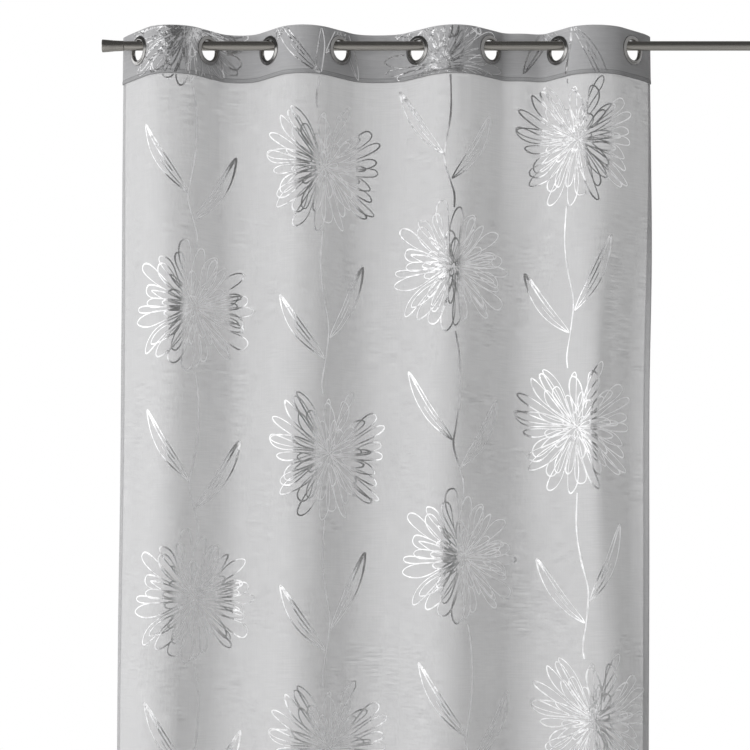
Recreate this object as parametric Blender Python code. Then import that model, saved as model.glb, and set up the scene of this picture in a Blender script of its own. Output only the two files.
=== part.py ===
# Sheer voile curtain with an eyelet heading, hanging on a plain metal rod.
# Metres, +Z up. The rod runs along X at the origin and the front of the cloth faces -Y.
import math
from collections import namedtuple

import bmesh
import bpy
import numpy as np

# Rod and its ends
ROD_RADIUS = 0.0095
ROD_LEFT = -0.523
ROD_RIGHT = 0.742
ROD_SIDES = 32
FINIAL_SIDES = 24

# Flat cloth
CLOTH_WIDTH = 1.330
CLOTH_DROP = 2.400
SHEET_THICKNESS = 0.0010
HEM_THICKNESS = 0.0015
SIDE_HEM = 0.012
BOTTOM_HEM = 0.060
HEM_STEP = 0.002

# Heading band and the lap of the panel behind its lower edge
HEADING_HEIGHT = 0.098
HEADING_THICKNESS = 0.0014
SEAM_LAP = 0.008
PIECE_GAP = 0.0003

# Eyelets, and the round holes of the heading that they clamp
EYELET_DROP = 0.041
CLOTH_HOLE_RADIUS = 0.0240
HOLE_SIDES = 20
FLAT_HALF = 0.030
RING_SIDES = 24
RING_NECK = 0.0200
RING_OUTER = 0.0295
RING_GROOVE = 0.0233
GROOVE_HALF = HEADING_THICKNESS / 2 + PIECE_GAP

# One half of the ring's section, from the bottom of the groove round to the neck.
RingPoint = namedtuple("RingPoint", "radius depth")
RING_HALF = (
    RingPoint(RING_GROOVE, GROOVE_HALF),
    RingPoint(RING_OUTER, GROOVE_HALF),
    RingPoint(RING_OUTER, 0.0016),
    RingPoint(0.0236, 0.0040),
    RingPoint(0.0211, 0.0034),
    RingPoint(RING_NECK, 0.0017),
)

# Outline of a finial, outward from the end of the rod.
FinialPoint = namedtuple("FinialPoint", "out radius")
FINIAL_OUTLINE = (
    FinialPoint(PIECE_GAP, 0.0100),
    FinialPoint(0.0040, 0.0103),
    FinialPoint(0.0048, 0.0097),
    FinialPoint(0.0062, 0.0105),
    FinialPoint(0.0190, 0.0111),
    FinialPoint(0.0200, 0.0104),
    FinialPoint(0.0222, 0.0114),
    FinialPoint(0.0420, 0.0130),
    FinialPoint(0.0440, 0.0122),
)

# The eight lines where the cloth passes from back to front and from front to back, at four
# heights. arc: place across the flat cloth. x: place along the rod. turn: degrees between the
# cloth and the rod. depth: place behind the rod's axis.
Line = namedtuple("Line", "arc x turn depth")

# A height of the folds. straight: flat stretch beside each line. left_turn and right_turn:
# degrees between the rod and the cloth at the two side edges.
Level = namedtuple("Level", "z straight left_turn right_turn lines")
LEVELS = (
    Level(-0.100, 0.030, 60, 66, (
        Line(0.067, -0.4930, 54, 0.000),
        Line(0.241, -0.3548, 49, 0.000),
        Line(0.393, -0.2330, 50, 0.000),
        Line(0.568, -0.0916, 46, 0.000),
        Line(0.750, 0.0638, 45, 0.000),
        Line(0.925, 0.2092, 43, 0.000),
        Line(1.083, 0.3442, 50, 0.000),
        Line(1.263, 0.4930, 45, 0.000),
    )),
    Level(-0.700, 0.020, 47, -18, (
        Line(0.067, -0.4834, 50, 0.004),
        Line(0.229, -0.3556, 46, -0.003),
        Line(0.376, -0.2396, 50, 0.002),
        Line(0.553, -0.1000, 58, 0.006),
        Line(0.740, 0.0474, 50, 0.000),
        Line(0.927, 0.1949, 46, -0.004),
        Line(1.127, 0.3521, 47, 0.003),
        Line(1.263, 0.4608, 38, 0.006),
    )),
    Level(-1.350, 0.016, 58, 10, (
        Line(0.067, -0.4914, 56, 0.009),
        Line(0.195, -0.3889, 48, -0.006),
        Line(0.371, -0.2477, 50, 0.004),
        Line(0.558, -0.0988, 55, 0.010),
        Line(0.727, 0.0366, 52, -0.003),
        Line(0.920, 0.1913, 48, -0.008),
        Line(1.125, 0.3557, 45, 0.005),
        Line(1.264, 0.4679, 62, 0.008),
    )),
    Level(-2.372, 0.012, 56, 14, (
        Line(0.068, -0.4790, 58, 0.012),
        Line(0.201, -0.3790, 50, -0.008),
        Line(0.380, -0.2400, 52, 0.007),
        Line(0.562, -0.0940, 54, 0.012),
        Line(0.733, 0.0400, 52, -0.007),
        Line(0.923, 0.1890, 50, -0.010),
        Line(1.117, 0.3440, 48, 0.008),
        Line(1.263, 0.4560, 58, 0.010),
    )),
)
EYELETS = LEVELS[0].lines
TOWARDS_FRONT = -1

# Rows of the panel as shares of its height between the lap and the bottom hem.
PANEL_ROWS = (0.0, 0.040, 0.105, 0.190, 0.285, 0.385, 0.490, 0.600, 0.715, 0.840)
COLUMNS_BETWEEN = 8
COLUMNS_AT_EDGE = 2

# How finely the folds are worked out
SPAN_SAMPLES = 120
NEWTON_STEPS = 12
NEWTON_NUDGE = 1e-5
SAG_HALVINGS = 40
RING_CHECKS = 721
SHARP_ANGLE = math.radians(35)


def clear_scene():
    for obj in list(bpy.data.objects):
        bpy.data.objects.remove(obj, do_unlink=True)


def make_material(name, colour, roughness, metallic, alpha=1.0):
    material = bpy.data.materials.new(name)
    material.use_nodes = True
    shader = material.node_tree.nodes["Principled BSDF"]
    shader.inputs["Base Color"].default_value = (*colour, 1.0)
    shader.inputs["Roughness"].default_value = roughness
    shader.inputs["Metallic"].default_value = metallic
    shader.inputs["Alpha"].default_value = alpha
    return material


def finish_mesh(name, shape, material):
    bmesh.ops.recalc_face_normals(shape, faces=shape.faces)
    mesh = bpy.data.meshes.new(name)
    shape.to_mesh(mesh)
    shape.free()
    mesh.shade_smooth()
    mesh.set_sharp_from_angle(angle=SHARP_ANGLE)
    mesh.materials.append(material)
    return mesh


def place_object(name, mesh, location=(0.0, 0.0, 0.0), turn=0.0):
    obj = bpy.data.objects.new(name, mesh)
    obj.location = location
    obj.rotation_euler = (0.0, 0.0, turn)
    bpy.context.scene.collection.objects.link(obj)
    return obj


# Folds

def between_levels(z, read):
    """Values that read gives for each level, carried on a smooth curve to the height z."""
    heights = [level.z for level in LEVELS]
    values = [np.array(read(level), dtype=float) for level in LEVELS]
    if z >= heights[0]:
        return values[0]
    slopes = [values[0] * 0.0]
    for k in range(1, len(heights) - 1):
        slopes.append((values[k + 1] - values[k - 1]) / (heights[k + 1] - heights[k - 1]))
    slopes.append((values[-1] - values[-2]) / (heights[-1] - heights[-2]))
    k = 0
    while k < len(heights) - 2 and z < heights[k + 1]:
        k += 1
    step = heights[k + 1] - heights[k]
    t = (z - heights[k]) / step
    keep = 2 * t**3 - 3 * t**2 + 1
    start_lean = (t**3 - 2 * t**2 + t) * step * slopes[k]
    end_lean = (t**3 - t**2) * step * slopes[k + 1]
    return keep * values[k] + (1 - keep) * values[k + 1] + start_lean + end_lean


def walk(turns, arcs):
    """Distance gained along the rod and in depth by cloth with these turns."""
    middle = (turns[1:] + turns[:-1]) / 2
    step = np.diff(arcs)
    run = np.concatenate(([0.0], np.cumsum(np.cos(middle) * step)))
    rise = np.concatenate(([0.0], np.cumsum(np.sin(middle) * step)))
    return run, rise


def bend_span(start, end, arcs, straight, target):
    """Turns of the cloth between two lines, tightened and shifted until it reaches the target."""
    share = (arcs - arcs[0] - straight) / (arcs[-1] - arcs[0] - 2 * straight)
    share = np.clip(share, 0.0, 1.0)
    base = start + (end - start) * share
    tighten = np.sign(start) * np.sin(2 * math.pi * share)
    shift = np.sin(math.pi * share)

    def miss(amounts):
        run, rise = walk(base + amounts[0] * tighten + amounts[1] * shift, arcs)
        return np.array([run[-1], rise[-1]]) - target

    amounts = np.zeros(2)
    for _ in range(NEWTON_STEPS):
        now = miss(amounts)
        by_tighten = (miss(amounts + [NEWTON_NUDGE, 0.0]) - now) / NEWTON_NUDGE
        by_shift = (miss(amounts + [0.0, NEWTON_NUDGE]) - now) / NEWTON_NUDGE
        amounts = amounts - np.linalg.solve(np.column_stack([by_tighten, by_shift]), now)
    return base + amounts[0] * tighten + amounts[1] * shift


def fold_plan(z):
    """Plan of the cloth at one height: arcs, x, y and turns from the left to the right edge."""
    lines = between_levels(z, lambda level: level.lines)
    straight, left, right = between_levels(z, lambda level: level[1:4])
    arc, x, turn, depth = lines.T
    turn = np.radians(turn)
    turn[0::2] *= TOWARDS_FRONT
    left = math.radians(left) * TOWARDS_FRONT
    right = math.radians(right)

    arcs = np.linspace(0.0, arc[0], SPAN_SAMPLES)
    turns = left + (turn[0] - left) * np.clip(arcs / (arc[0] - straight), 0.0, 1.0)
    run, rise = walk(turns, arcs)
    pieces = [(arcs, x[0] - run[-1] + run, depth[0] - rise[-1] + rise, turns)]
    for k in range(len(arc) - 1):
        arcs = np.linspace(arc[k], arc[k + 1], SPAN_SAMPLES)
        target = np.array([x[k + 1] - x[k], depth[k + 1] - depth[k]])
        turns = bend_span(turn[k], turn[k + 1], arcs, straight, target)
        run, rise = walk(turns, arcs)
        pieces.append((arcs, x[k] + run, depth[k] + rise, turns))
    arcs = np.linspace(arc[-1], CLOTH_WIDTH, SPAN_SAMPLES)
    share = (arcs - arc[-1] - straight) / (CLOTH_WIDTH - arc[-1] - straight)
    turns = turn[-1] + (right - turn[-1]) * np.clip(share, 0.0, 1.0)
    run, rise = walk(turns, arcs)
    pieces.append((arcs, x[-1] + run, depth[-1] + rise, turns))
    return [np.concatenate(column) for column in zip(*pieces)]


def at_arc(plan, arc):
    """Point of the plan at a place across the cloth, and the normal towards the back."""
    arcs, x, y, turns = plan
    turn = float(np.interp(arc, arcs, turns))
    point = np.array([np.interp(arc, arcs, x), np.interp(arc, arcs, y)])
    return point, np.array([-math.sin(turn), math.cos(turn)])


# How the eyelets hang on the rod

def ring_clearance(turn, sag):
    """Least distance between the rod and a ring whose centre lies sag below the rod's axis."""
    round_ring = np.linspace(0.0, 2 * math.pi, RING_CHECKS)
    least = RING_OUTER
    for radius, depth in RING_HALF:
        for out in (depth, -depth):
            across = radius * np.cos(round_ring)
            up = radius * np.sin(round_ring) - sag
            on_axis = across * math.cos(turn) + out * math.sin(turn)
            distance = np.sqrt(across**2 + up**2 + out**2 - on_axis**2)
            least = min(least, float(distance.min()) - ROD_RADIUS)
    return least


def ring_sag(turn):
    """How far below the rod's axis a ring hangs that rests on the rod with the usual gap."""
    facet = RING_NECK * (1 - math.cos(math.pi / RING_SIDES))
    low = 0.0
    high = RING_NECK - ROD_RADIUS
    for _ in range(SAG_HALVINGS):
        middle = (low + high) / 2
        if ring_clearance(turn, middle) > PIECE_GAP + facet:
            low = middle
        else:
            high = middle
    return low


def cloth_sag(arc, sags):
    """Drop of the cloth at a place across it: level at each eyelet and smooth between them."""
    sag = sags[0]
    for k in range(len(EYELETS) - 1):
        gap = EYELETS[k + 1].arc - EYELETS[k].arc - 2 * FLAT_HALF
        t = min(max((arc - EYELETS[k].arc - FLAT_HALF) / gap, 0.0), 1.0)
        sag += (sags[k + 1] - sags[k]) * t * t * (3 - 2 * t)
    return sag


# Cloth

def cloth_columns():
    """Places across the cloth where both sheets have a column of points."""
    across = HOLE_SIDES // 4
    arcs = [0.0, SIDE_HEM, SIDE_HEM + HEM_STEP]
    count = COLUMNS_AT_EDGE
    for eyelet in EYELETS:
        arcs += list(np.linspace(arcs[-1], eyelet.arc - FLAT_HALF, count + 1)[1:])
        arcs += list(np.linspace(eyelet.arc - FLAT_HALF, eyelet.arc + FLAT_HALF, across + 1)[1:])
        count = COLUMNS_BETWEEN
    inner = CLOTH_WIDTH - SIDE_HEM - HEM_STEP
    arcs += list(np.linspace(arcs[-1], inner, COLUMNS_AT_EDGE + 1)[1:])
    return arcs + [CLOTH_WIDTH - SIDE_HEM, CLOTH_WIDTH]


def close_sheet(front, back, quads):
    """A closed sheet from matching front and back points and the quads of its front.

    Both sides of a quad are cut along one diagonal, so the wall stays even where the cloth twists.
    """
    shape = bmesh.new()
    near = [shape.verts.new(point) for point in front]
    far = [shape.verts.new(point) for point in back]
    sides = set()
    for quad in quads:
        for corners in ((quad[0], quad[1], quad[2]), (quad[0], quad[2], quad[3])):
            shape.faces.new([near[v] for v in corners])
            shape.faces.new([far[v] for v in reversed(corners)])
        sides.update((quad[k], quad[(k + 1) % len(quad)]) for k in range(len(quad)))
    for a, b in sorted(sides):
        if (b, a) not in sides:
            shape.faces.new((near[b], near[a], far[a], far[b]))
    return shape


def build_panel(material, arcs, sags):
    top = EYELET_DROP - HEADING_HEIGHT + SEAM_LAP
    bottom = EYELET_DROP - CLOTH_DROP
    hem_top = bottom + BOTTOM_HEM
    body = hem_top + HEM_STEP - top
    heights = [bottom, hem_top, hem_top + HEM_STEP]
    heights += [top + body * share for share in reversed(PANEL_ROWS)]
    front, back, quads = [], [], []
    for height in heights:
        plan = fold_plan(height)
        for arc in arcs:
            point, normal = at_arc(plan, arc)
            in_side_hem = min(arc, CLOTH_WIDTH - arc) < SIDE_HEM + HEM_STEP / 2
            in_bottom_hem = height < hem_top + HEM_STEP / 2
            thickness = HEM_THICKNESS if in_side_hem or in_bottom_hem else SHEET_THICKNESS
            near = point + normal * GROOVE_HALF
            far = near + normal * thickness
            z = height - cloth_sag(arc, sags)
            front.append((near[0], near[1], z))
            back.append((far[0], far[1], z))
    width = len(arcs)
    for row in range(len(heights) - 1):
        for column in range(width - 1):
            a = row * width + column
            quads.append((a, a + 1, a + width + 1, a + width))
    mesh = finish_mesh("panel", close_sheet(front, back, quads), material)
    return place_object("panel", mesh)


def build_heading(material, arcs, sags):
    """The heading band, a grid with a ring of faces round each hole."""
    plan = fold_plan(0.0)
    steps = HOLE_SIDES // 4
    heights = list(np.linspace(EYELET_DROP, -EYELET_DROP, steps + 1))
    heights.append(EYELET_DROP - HEADING_HEIGHT)
    front, back, quads, known = [], [], [], {}

    def point_at(key, arc, height):
        if key not in known:
            point, normal = at_arc(plan, arc)
            half = normal * HEADING_THICKNESS / 2
            z = height - cloth_sag(arc, sags)
            known[key] = len(front)
            front.append((point[0] - half[0], point[1] - half[1], z))
            back.append((point[0] + half[0], point[1] + half[1], z))
        return known[key]

    def grid(row, column):
        return point_at((row, column), arcs[column], heights[row])

    def grid_quad(row, column):
        corners = ((row, column), (row + 1, column), (row + 1, column + 1), (row, column + 1))
        quads.append([grid(*corner) for corner in corners])

    def hole(number, corner):
        turn = math.pi / 4 + 2 * math.pi * corner / HOLE_SIDES
        across = CLOTH_HOLE_RADIUS * math.cos(turn)
        up = CLOTH_HOLE_RADIUS * math.sin(turn)
        return point_at(("hole", number, corner), EYELETS[number].arc + across, up)

    def ring_of_faces(number, column):
        rim = [(0, column + k) for k in range(steps, 0, -1)]
        rim += [(k, column) for k in range(steps)]
        rim += [(steps, column + k) for k in range(steps)]
        rim += [(k, column + steps) for k in range(steps, 0, -1)]
        for k in range(HOLE_SIDES):
            after = (k + 1) % HOLE_SIDES
            quads.append((hole(number, k), grid(*rim[k]), grid(*rim[after]), hole(number, after)))

    last_row = len(heights) - 2
    column = 0
    for number, eyelet in enumerate(EYELETS):
        while arcs[column] < eyelet.arc - FLAT_HALF - HEM_STEP:
            for row in range(last_row + 1):
                grid_quad(row, column)
            column += 1
        ring_of_faces(number, column)
        for k in range(steps):
            grid_quad(last_row, column + k)
        column += steps
    for rest in range(column, len(arcs) - 1):
        for row in range(last_row + 1):
            grid_quad(row, rest)
    mesh = finish_mesh("heading", close_sheet(front, back, quads), material)
    return place_object("heading", mesh)


# Turned pieces

def spin_outline(name, points, axis, sides, closed, material):
    """Turn an outline round an axis. A closed outline makes a ring, an open one gets two end faces."""
    shape = bmesh.new()
    dots = [shape.verts.new(point) for point in points]
    edges = [shape.edges.new(pair) for pair in zip(dots, dots[1:])]
    if closed:
        edges.append(shape.edges.new((dots[-1], dots[0])))
    bmesh.ops.spin(
        shape, geom=dots + edges, cent=(0, 0, 0), axis=axis,
        angle=2 * math.pi, steps=sides, use_merge=True,
    )
    if not closed:
        bmesh.ops.holes_fill(shape, edges=shape.edges, sides=sides)
    return finish_mesh(name, shape, material)


def build_eyelets(material, sags):
    outline = [(p.radius, p.depth, 0.0) for p in RING_HALF]
    outline += [(p.radius, -p.depth, 0.0) for p in reversed(RING_HALF)]
    mesh = spin_outline("eyelet", outline, (0, 1, 0), RING_SIDES, True, material)
    for number, eyelet in enumerate(EYELETS):
        side = TOWARDS_FRONT if number % 2 == 0 else 1
        turn = math.radians(eyelet.turn) * side
        place_object(f"eyelet_{number + 1}", mesh, (eyelet.x, 0.0, -sags[number]), turn)


def build_rod(material):
    outline = [(ROD_LEFT, 0.0, ROD_RADIUS), (ROD_RIGHT, 0.0, ROD_RADIUS)]
    place_object("rod", spin_outline("rod", outline, (1, 0, 0), ROD_SIDES, False, material))


def build_finials(material):
    outline = [(p.out, 0.0, p.radius) for p in FINIAL_OUTLINE]
    mesh = spin_outline("finial", outline, (1, 0, 0), FINIAL_SIDES, False, material)
    place_object("finial_right", mesh, (ROD_RIGHT, 0.0, 0.0))
    place_object("finial_left", mesh, (ROD_LEFT, 0.0, 0.0), math.pi)


def main():
    clear_scene()
    voile = make_material("voile", (0.62, 0.62, 0.63), 0.75, 0.0, alpha=0.6)
    band = make_material("heading_voile", (0.40, 0.40, 0.41), 0.75, 0.0, alpha=0.9)
    nickel = make_material("nickel", (0.55, 0.54, 0.53), 0.22, 1.0)
    steel = make_material("rod_steel", (0.34, 0.32, 0.30), 0.30, 1.0)
    sags = [ring_sag(math.radians(eyelet.turn)) for eyelet in EYELETS]
    arcs = cloth_columns()
    build_panel(voile, arcs, sags)
    build_heading(band, arcs, sags)
    build_eyelets(nickel, sags)
    build_rod(steel)
    build_finials(steel)


main()
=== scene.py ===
# Foil-printed voile curtain, hung by eight eyelets on a plain metal rod.
# Metres, +Z up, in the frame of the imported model. The front of the cloth faces -Y.
import random
from collections import namedtuple
from math import acos, atan2, cos, dist, exp, hypot, pi, radians, sin

import bmesh
import bpy
import numpy as np
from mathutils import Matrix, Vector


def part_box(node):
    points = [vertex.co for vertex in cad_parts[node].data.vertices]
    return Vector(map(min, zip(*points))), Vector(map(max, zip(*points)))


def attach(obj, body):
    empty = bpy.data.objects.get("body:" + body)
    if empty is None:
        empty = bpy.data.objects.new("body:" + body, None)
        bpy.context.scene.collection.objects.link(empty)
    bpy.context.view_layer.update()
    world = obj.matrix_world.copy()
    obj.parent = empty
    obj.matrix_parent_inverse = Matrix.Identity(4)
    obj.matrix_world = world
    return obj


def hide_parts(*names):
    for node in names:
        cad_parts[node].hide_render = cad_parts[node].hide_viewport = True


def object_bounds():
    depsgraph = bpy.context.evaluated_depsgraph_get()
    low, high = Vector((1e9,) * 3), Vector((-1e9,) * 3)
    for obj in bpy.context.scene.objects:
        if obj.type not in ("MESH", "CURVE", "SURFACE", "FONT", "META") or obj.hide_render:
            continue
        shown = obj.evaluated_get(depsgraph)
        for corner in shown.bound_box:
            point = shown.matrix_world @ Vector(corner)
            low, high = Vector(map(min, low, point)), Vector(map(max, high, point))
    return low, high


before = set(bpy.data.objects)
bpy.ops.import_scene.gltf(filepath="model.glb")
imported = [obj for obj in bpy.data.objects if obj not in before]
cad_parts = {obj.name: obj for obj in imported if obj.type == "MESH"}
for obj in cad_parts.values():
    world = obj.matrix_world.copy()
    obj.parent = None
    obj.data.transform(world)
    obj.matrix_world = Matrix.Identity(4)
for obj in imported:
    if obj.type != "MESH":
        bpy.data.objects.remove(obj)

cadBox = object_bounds()
print("frame loaded with", len(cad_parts), "nodes")

# Camera, level with the lower part of the seen cloth and tilted up to the rod.
cameraSetup = {
    "place": (-0.0214, -4.40, -1.154),
    "tiltUp": 6.375,  # degrees
    "lens": 108.0,
    "sensor": 36.0,
    "clipEnd": 50.0,
}


def addObject(name, data):
    obj = bpy.data.objects.new(name, data)
    bpy.context.scene.collection.objects.link(obj)
    return obj


def addCamera(setup):
    data = bpy.data.cameras.new("camera")
    data.lens = setup["lens"]
    data.sensor_width = setup["sensor"]
    data.clip_end = setup["clipEnd"]
    camera = addObject("camera", data)
    camera.location = setup["place"]
    camera.rotation_euler = (radians(90 + setup["tiltUp"]), 0.0, 0.0)
    bpy.context.scene.camera = camera


addCamera(cameraSetup)

# Flat cloth and the band that carries the eyelets, as they are cut and sewn.
cloth = {
    "width": 1.330,
    "drop": 2.400,
    "sideHem": 0.012,
    "bottomHem": 0.060,
    "headingHeight": 0.098,
    "headingThickness": 0.0014,
    "seamLap": 0.008,  # the panel's reach up behind the heading
    "gap": 0.0003,  # between the two
    "eyeletDrop": 0.041,  # from the top edge to the middle of an eyelet
    "holeRadius": 0.024,
    "flatHalf": 0.030,  # half the level stretch of the top edge at an eyelet
}
clothTop = cloth["eyeletDrop"]
clothBottom = cloth["eyeletDrop"] - cloth["drop"]
seamEdge = cloth["eyeletDrop"] - cloth["headingHeight"]

# The eight lines where the cloth passes from back to front and from front to back, at four
# heights. arc: place across the flat cloth. x: place along the rod. turn: degrees between the
# cloth and the rod. depth: place behind the rod's axis.
Line = namedtuple("Line", "arc x turn depth")
# straight: flat stretch beside each line. leftTurn and rightTurn: turns at the two side edges.
Level = namedtuple("Level", "z straight leftTurn rightTurn lines")
levels = (
    Level(-0.100, 0.030, 60, 66, (
        (0.067, -0.4930, 54, 0.000), (0.241, -0.3548, 49, 0.000),
        (0.393, -0.2330, 50, 0.000), (0.568, -0.0916, 46, 0.000),
        (0.750, 0.0638, 45, 0.000), (0.925, 0.2092, 43, 0.000),
        (1.083, 0.3442, 50, 0.000), (1.263, 0.4930, 45, 0.000),
    )),
    Level(-0.700, 0.020, 47, -18, (
        (0.067, -0.4834, 50, 0.004), (0.229, -0.3556, 46, -0.003),
        (0.376, -0.2396, 50, 0.002), (0.553, -0.1000, 58, 0.006),
        (0.740, 0.0474, 50, 0.000), (0.927, 0.1949, 46, -0.004),
        (1.127, 0.3521, 47, 0.003), (1.263, 0.4608, 38, 0.006),
    )),
    Level(-1.350, 0.016, 58, 10, (
        (0.067, -0.4914, 56, 0.009), (0.195, -0.3889, 48, -0.006),
        (0.371, -0.2477, 50, 0.004), (0.558, -0.0988, 55, 0.010),
        (0.727, 0.0366, 52, -0.003), (0.920, 0.1913, 48, -0.008),
        (1.125, 0.3557, 45, 0.005), (1.264, 0.4679, 62, 0.008),
    )),
    Level(-2.372, 0.012, 56, 14, (
        (0.068, -0.4790, 58, 0.012), (0.201, -0.3790, 50, -0.008),
        (0.380, -0.2400, 52, 0.007), (0.562, -0.0940, 54, 0.012),
        (0.733, 0.0400, 52, -0.007), (0.923, 0.1890, 50, -0.010),
        (1.117, 0.3440, 48, 0.008), (1.263, 0.4560, 58, 0.010),
    )),
)
eyelets = [Line(*line) for line in levels[0].lines]
towardsFront = -1  # a turn of this sign leads the cloth to the front
folding = {"samples": 120, "newtonSteps": 12, "nudge": 1e-5}


def betweenLevels(z, read):
    heights = [level.z for level in levels]
    values = [np.array(read(level), dtype=float) for level in levels]
    if z >= heights[0]:
        return values[0]
    slopes = [values[0] * 0.0]
    for k in range(1, len(heights) - 1):
        slopes.append((values[k + 1] - values[k - 1]) / (heights[k + 1] - heights[k - 1]))
    slopes.append((values[-1] - values[-2]) / (heights[-1] - heights[-2]))
    k = 0
    while k < len(heights) - 2 and z < heights[k + 1]:
        k += 1
    step = heights[k + 1] - heights[k]
    t = (z - heights[k]) / step
    keep = 2 * t**3 - 3 * t**2 + 1
    startLean = (t**3 - 2 * t**2 + t) * step * slopes[k]
    endLean = (t**3 - t**2) * step * slopes[k + 1]
    return keep * values[k] + (1 - keep) * values[k + 1] + startLean + endLean


def walk(turns, arcs):
    middle = (turns[1:] + turns[:-1]) / 2
    step = np.diff(arcs)
    run = np.concatenate(([0.0], np.cumsum(np.cos(middle) * step)))
    rise = np.concatenate(([0.0], np.cumsum(np.sin(middle) * step)))
    return run, rise


# Turns of the cloth between two lines, tightened and shifted until it reaches the next line.
def bendSpan(start, end, arcs, straight, target):
    share = np.clip((arcs - arcs[0] - straight) / (arcs[-1] - arcs[0] - 2 * straight), 0.0, 1.0)
    base = start + (end - start) * share
    tighten = np.sign(start) * np.sin(2 * pi * share)
    shift = np.sin(pi * share)

    def miss(amounts):
        run, rise = walk(base + amounts[0] * tighten + amounts[1] * shift, arcs)
        return np.array([run[-1], rise[-1]]) - target

    amounts = np.zeros(2)
    nudge = folding["nudge"]
    for _ in range(folding["newtonSteps"]):
        now = miss(amounts)
        byTighten = (miss(amounts + [nudge, 0.0]) - now) / nudge
        byShift = (miss(amounts + [0.0, nudge]) - now) / nudge
        amounts = amounts - np.linalg.solve(np.column_stack([byTighten, byShift]), now)
    return base + amounts[0] * tighten + amounts[1] * shift


# Plan of the cloth at one height: arcs, x, y and turns from the left to the right edge.
def foldPlan(z):
    lines = betweenLevels(z, lambda level: level.lines)
    straight, left, right = betweenLevels(z, lambda level: level[1:4])
    arc, x, turn, depth = lines.T
    turn = np.radians(turn)
    turn[0::2] *= towardsFront
    left = radians(left) * towardsFront
    right = radians(right)
    samples = folding["samples"]

    arcs = np.linspace(0.0, arc[0], samples)
    turns = left + (turn[0] - left) * np.clip(arcs / (arc[0] - straight), 0.0, 1.0)
    run, rise = walk(turns, arcs)
    spans = [(arcs, x[0] - run[-1] + run, depth[0] - rise[-1] + rise, turns)]
    for k in range(len(arc) - 1):
        arcs = np.linspace(arc[k], arc[k + 1], samples)
        target = np.array([x[k + 1] - x[k], depth[k + 1] - depth[k]])
        turns = bendSpan(turn[k], turn[k + 1], arcs, straight, target)
        run, rise = walk(turns, arcs)
        spans.append((arcs, x[k] + run, depth[k] + rise, turns))
    arcs = np.linspace(arc[-1], cloth["width"], samples)
    share = (arcs - arc[-1] - straight) / (cloth["width"] - arc[-1] - straight)
    turns = turn[-1] + (right - turn[-1]) * np.clip(share, 0.0, 1.0)
    run, rise = walk(turns, arcs)
    spans.append((arcs, x[-1] + run, depth[-1] + rise, turns))
    return [np.concatenate(column) for column in zip(*spans)]


# x, y and turn of the cloth at one height, for the places arcs on the flat cloth.
def planAt(z, arcs):
    plan = foldPlan(z)
    return [np.interp(arcs, plan[0], column) for column in plan[1:]]


def behindPlan(x, y, turn, away, z):
    return np.column_stack([x - np.sin(turn) * away, y + np.cos(turn) * away, z])


def eyeletSags():
    sags = []
    for number in range(len(eyelets)):
        low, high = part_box(f"eyelet_{number + 1}")
        sags.append(-(low[2] + high[2]) / 2)
    return sags


def clothSag(arcs, sags):
    sag = np.full(len(arcs), sags[0])
    for k in range(len(eyelets) - 1):
        gap = eyelets[k + 1].arc - eyelets[k].arc - 2 * cloth["flatHalf"]
        t = np.clip((arcs - eyelets[k].arc - cloth["flatHalf"]) / gap, 0.0, 1.0)
        sag += (sags[k + 1] - sags[k]) * t * t * (3 - 2 * t)
    return sag


sags = eyeletSags()
print("rings hang", [round(sag * 1000, 1) for sag in sags], "mm below the rod's axis")


# Small helpers for meshes and node trees.
def addNode(tree, kind, inputs=None, **settings):
    node = tree.nodes.new(kind)
    for name, value in settings.items():
        setattr(node, name, value)
    for key, value in (inputs or {}).items():
        if isinstance(value, bpy.types.Node):  # a node stands for its first output
            value = value.outputs[0]
        if isinstance(value, bpy.types.NodeSocket):
            tree.links.new(value, node.inputs[key])
        else:
            node.inputs[key].default_value = value
    return node


def makeMesh(name, points, faces, uvs, rimStart=None, rimSize=0):
    mesh = bpy.data.meshes.new(name)
    mesh.from_pydata([tuple(p) for p in points], [], faces)
    corners = np.empty(len(mesh.loops), dtype=np.int32)
    mesh.loops.foreach_get("vertex_index", corners)
    if rimStart is not None:  # a rim face keeps to the front's edge on the flat map
        corners[rimStart:] %= rimSize
    layer = mesh.uv_layers.new(name="UVMap")
    layer.data.foreach_set("uv", np.asarray(uvs, dtype=np.float32)[corners].ravel())
    mesh.shade_smooth()
    mesh.update()
    return mesh


def namedField(tree, name, kind="FLOAT"):
    return addNode(tree, "GeometryNodeInputNamedAttribute", {"Name": name}, data_type=kind)


def newTree(name, **sockets):
    tree = bpy.data.node_groups.new(name, "GeometryNodeTree")
    for label, kind in {"Geometry": "Geometry", **sockets, "Material": "Material"}.items():
        tree.interface.new_socket(
            label.replace("_", " "), in_out="INPUT", socket_type="NodeSocket" + kind)
    tree.interface.new_socket("Geometry", in_out="OUTPUT", socket_type="NodeSocketGeometry")
    return tree, tree.nodes.new("NodeGroupInput"), tree.nodes.new("NodeGroupOutput")


def endTree(tree, groupInput, groupOutput, geometry):
    realized = addNode(tree, "GeometryNodeRealizeInstances", {"Geometry": geometry})
    smooth = addNode(tree, "GeometryNodeSetShadeSmooth", {"Geometry": realized})
    painted = addNode(tree, "GeometryNodeSetMaterial", {
        "Geometry": smooth, "Material": groupInput.outputs["Material"]})
    tree.links.new(painted.outputs[0], groupOutput.inputs[0])


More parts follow.
